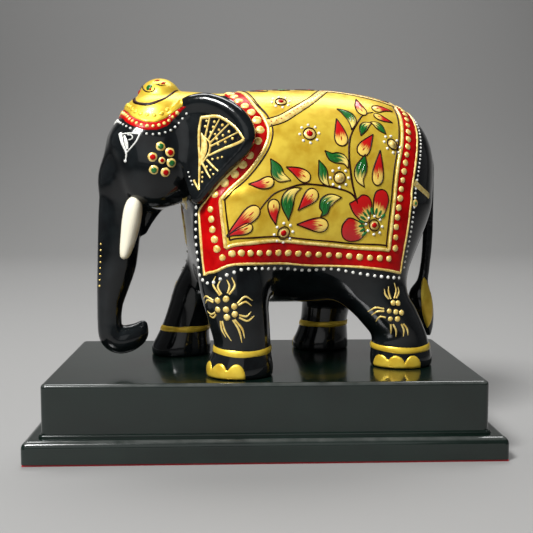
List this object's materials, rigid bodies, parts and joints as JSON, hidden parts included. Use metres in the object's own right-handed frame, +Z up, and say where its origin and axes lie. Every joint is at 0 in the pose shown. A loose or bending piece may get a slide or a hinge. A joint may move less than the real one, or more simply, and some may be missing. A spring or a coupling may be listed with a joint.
{
  "type": "carved wooden elephant on a base",
  "caption": "Walking elephant carved in black-lacquered wood with a painted gold and red blanket and head cap, ivory-white tusks, on a black two-tier rectangular base.",
  "frame": {"origin": "middle of the base's underside, on the surface it stands on", "axes": "+Z up; X along the base's long side; the elephant faces -X, turned 13 degrees about +Z towards -Y; its painted left flank faces -Y"},
  "size_m": [0.204, 0.122, 0.1638],
  "materials": {
    "black_lacquer": "high gloss black lacquer on carved wood",
    "gold_paint": "gold enamel paint, satin, hand brushed",
    "red_paint": "red enamel paint, gloss",
    "green_paint": "green enamel paint, gloss",
    "white_paint": "white enamel dots, gloss",
    "ivory_paint": "ivory-white paint, semi-gloss",
    "base_black": "satin black lacquer on wood",
    "baize": "red baize",
    "screw_steel": "plain zinc-plated steel"
  },
  "bodies": {
    "root": {"elephant_carving": "black_lacquer", "tusk_left": "ivory_paint", "tusk_right": "ivory_paint", "plinth_block": "base_black", "base_board": "base_black", "felt_pad": "baize", "foot_screw_fore_left": "screw_steel", "foot_screw_fore_right": "screw_steel", "foot_screw_hind_left": "screw_steel", "foot_screw_hind_right": "screw_steel", "plinth_screw_front_left": "screw_steel", "plinth_screw_front_right": "screw_steel", "plinth_screw_back_left": "screw_steel", "plinth_screw_back_right": "screw_steel"}
  },
  "joints": []
}
